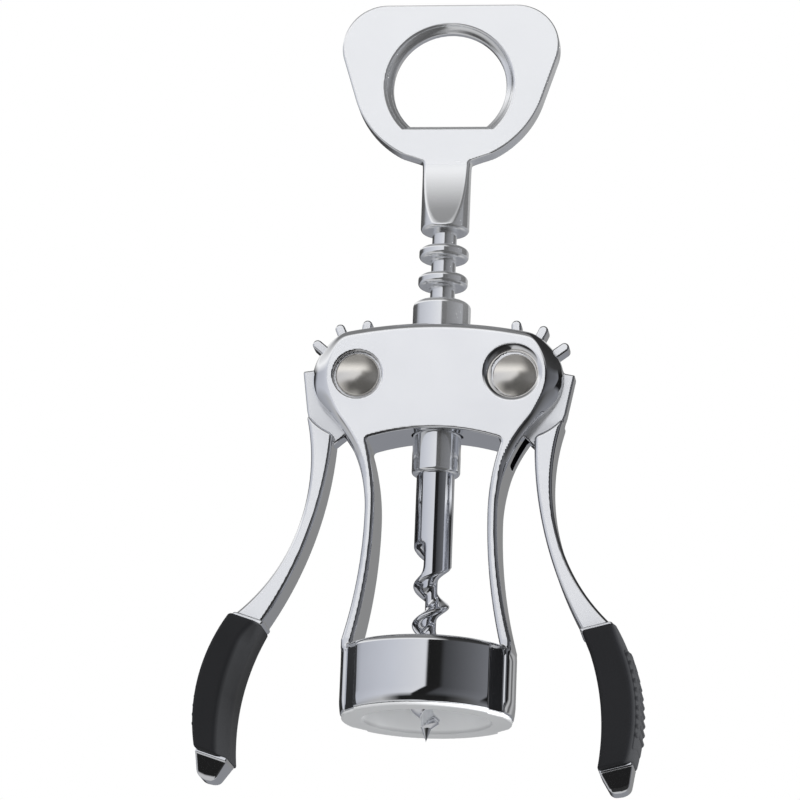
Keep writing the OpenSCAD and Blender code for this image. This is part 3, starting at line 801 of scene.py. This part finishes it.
def make_floor():
    """A pale floor that shows from above only, because the camera looks up from below it."""
    mesh = bpy.data.meshes.new("floor")
    turns = [2 * math.pi * i / FLOOR_SIDES for i in range(FLOOR_SIDES)]
    rim = [(FLOOR_HALF * math.cos(turn), FLOOR_HALF * math.sin(turn), lowest) for turn in turns]
    mesh.from_pydata(rim, [], [list(range(FLOOR_SIDES))])
    floor = bpy.data.objects.new("floor", mesh)
    bpy.context.scene.collection.objects.link(floor)
    mat, nodes, links, shader = new_material("floor_paint")
    shader.inputs["Base Color"].default_value = (0.78, 0.79, 0.80, 1)
    shader.inputs["Roughness"].default_value = 0.85
    clear = nodes.new("ShaderNodeBsdfTransparent")
    where = nodes.new("ShaderNodeNewGeometry")
    mix = nodes.new("ShaderNodeMixShader")
    links.new(where.outputs["Backfacing"], mix.inputs["Fac"])
    links.new(shader.outputs["BSDF"], mix.inputs[1])
    links.new(clear.outputs["BSDF"], mix.inputs[2])
    links.new(mix.outputs["Shader"], nodes["Material Output"].inputs["Surface"])
    floor.data.materials.append(mat)
    floor.visible_glossy = False
    floor.visible_diffuse = False
    floor.visible_shadow = False


def grey(level, blue=0.0):
    """A grey of this brightness, a little cooler where blue is above 0."""
    return level * (1 - 0.5 * blue), level * (1 - 0.25 * blue), level * (1 + 0.5 * blue)


# what polished metal sees round the object, by azimuth in degrees: 0 is the front and 90 the right
SIDE_WALLS = [(-180, grey(0.26)), (-174, grey(0.05)), (-150, grey(0.03)), (-114, grey(0.03)),
              (-104, grey(0.30, 0.12)), (-92, grey(0.50, 0.12)), (-40, grey(0.64, 0.10)),
              (4, grey(0.74, 0.04)), (7, grey(0.012)), (23, grey(0.014)), (29, grey(0.06, 0.1)),
              (97, grey(0.19, 0.1)), (101, grey(0.01)), (138, grey(0.012)), (144, grey(0.55)),
              (150, grey(0.06)), (157, grey(0.5)), (166, grey(0.26)), (180, grey(0.26))]
LOW_WALLS = [(-180, grey(0.27, 0.1)), (-125, grey(0.27, 0.1)), (-80, grey(0.42, 0.1)), (-36, grey(0.50)),
             (-10, grey(0.015)), (50, grey(0.015)), (80, grey(0.10)), (125, grey(0.24, 0.1)),
             (180, grey(0.27, 0.1))]
ROOF = [(-180, grey(0.98)), (12, grey(0.98)), (34, grey(0.05)), (150, grey(0.04)), (172, grey(0.98)),
        (180, grey(0.98))]
ZENITH = [(-180, grey(0.22)), (12, grey(0.22)), (34, grey(0.03)), (150, grey(0.03)), (172, grey(0.22)),
          (180, grey(0.22))]
FLOOR = [(-180, grey(0.55)), (8, grey(0.55)), (26, grey(0.03)), (120, grey(0.03)), (150, grey(0.55)),
         (180, grey(0.55))]


def make_world():
    """White to the camera, even light on matt faces, and bands of light and dark for polished metal."""
    world = bpy.data.worlds.new("studio")
    bpy.context.scene.world = world
    world.use_nodes = True
    nodes, links = world.node_tree.nodes, world.node_tree.links
    nodes.clear()
    coords = nodes.new("ShaderNodeTexCoord")
    x, y, z = split_axes(nodes, links, coords.outputs["Generated"])
    azimuth = calc(nodes, links, "ARCTAN2", x, calc(nodes, links, "MULTIPLY", y, -1))

    def rising(low, high, start=0, end=1):
        """From start at the elevation low to end at the elevation high, both in degrees."""
        return remap(nodes, links, z, start, end, math.sin(math.radians(low)), math.sin(math.radians(high)))

    # the walls' edges lean to the right as they go down
    lean = calc(nodes, links, "ADD", azimuth, rising(-2, 13, 0.35, 0))
    turn = remap(nodes, links, lean, 0, 1, -math.pi, math.pi)

    def band(stops):
        ramp = nodes.new("ShaderNodeValToRGB")
        while len(ramp.color_ramp.elements) < len(stops):
            ramp.color_ramp.elements.new(0.5)
        for element, (degrees, colour) in zip(ramp.color_ramp.elements, stops):
            element.position = degrees / 360 + 0.5
            element.color = (*colour, 1)
        links.new(turn, ramp.inputs["Fac"])
        return ramp.outputs["Color"]

    walls = blend(nodes, links, rising(-6, 1), band(LOW_WALLS), band(SIDE_WALLS))
    above = blend(nodes, links, rising(28, 48), band(ROOF), band(ZENITH))
    room = blend(nodes, links, rising(19, 27), walls, above)
    room = blend(nodes, links, rising(-25, -50), room, band(FLOOR))
    rays = nodes.new("ShaderNodeLightPath").outputs
    lit = blend(nodes, links, rays["Is Glossy Ray"], grey(0.85), room)
    shown = blend(nodes, links, rays["Is Camera Ray"], lit, grey(1.0))
    background = nodes.new("ShaderNodeBackground")
    links.new(shown, background.inputs["Color"])
    out = nodes.new("ShaderNodeOutputWorld")
    links.new(background.outputs["Background"], out.inputs["Surface"])


def direction(azimuth, elevation):
    """Towards an azimuth and elevation in degrees, where azimuth 0 is the front and 90 the right."""
    a, e = math.radians(azimuth), math.radians(elevation)
    return Vector((math.sin(a) * math.cos(e), -math.cos(a) * math.cos(e), math.sin(e)))


def make_lamp(name, azimuth, elevation, power, distance=1.2, size=0.8):
    """A soft round lamp that shines on the middle of the object and doesn't show in the metal."""
    back = direction(azimuth, elevation)
    data = bpy.data.lights.new(name, "AREA")
    data.shape = "DISK"
    data.size = size
    data.energy = power
    lamp = bpy.data.objects.new(name, data)
    lamp.location = Vector((0, 0, 0.09)) + back * distance
    lamp.rotation_mode = "QUATERNION"
    lamp.rotation_quaternion = (-back).to_track_quat("-Z", "Y")
    lamp.visible_glossy = False
    bpy.context.scene.collection.objects.link(lamp)


def make_camera(azimuth, elevation, roll, distance, aim, lens):
    """A camera that looks at aim from this azimuth and elevation, in degrees and metres."""
    back = direction(azimuth, elevation)
    turn = math.radians(roll)
    level = (-back).cross(Vector((0, 0, 1))).normalized()
    raised = level.cross(-back)
    right = level * math.cos(turn) - raised * math.sin(turn)
    up = level * math.sin(turn) + raised * math.cos(turn)
    data = bpy.data.cameras.new("camera")
    data.lens = lens
    data.sensor_width = 36
    data.clip_start, data.clip_end = 0.01, 20
    cam = bpy.data.objects.new("camera", data)
    bpy.context.scene.collection.objects.link(cam)
    facing = Matrix((right, up, back)).transposed().to_4x4()
    cam.matrix_world = Matrix.Translation(aim + back * distance) @ facing
    bpy.context.scene.camera = cam


make_floor()
make_world()
make_lamp("key_light", azimuth=-30, elevation=35, power=5)
make_lamp("side_light", azimuth=80, elevation=5, power=34)
make_camera(azimuth=7.55, elevation=-15.74, roll=-2.29, distance=0.9754,
            aim=Vector((-0.00945, 0, 0.07954)), lens=180.6)
bpy.context.scene.view_settings.view_transform = "Standard"
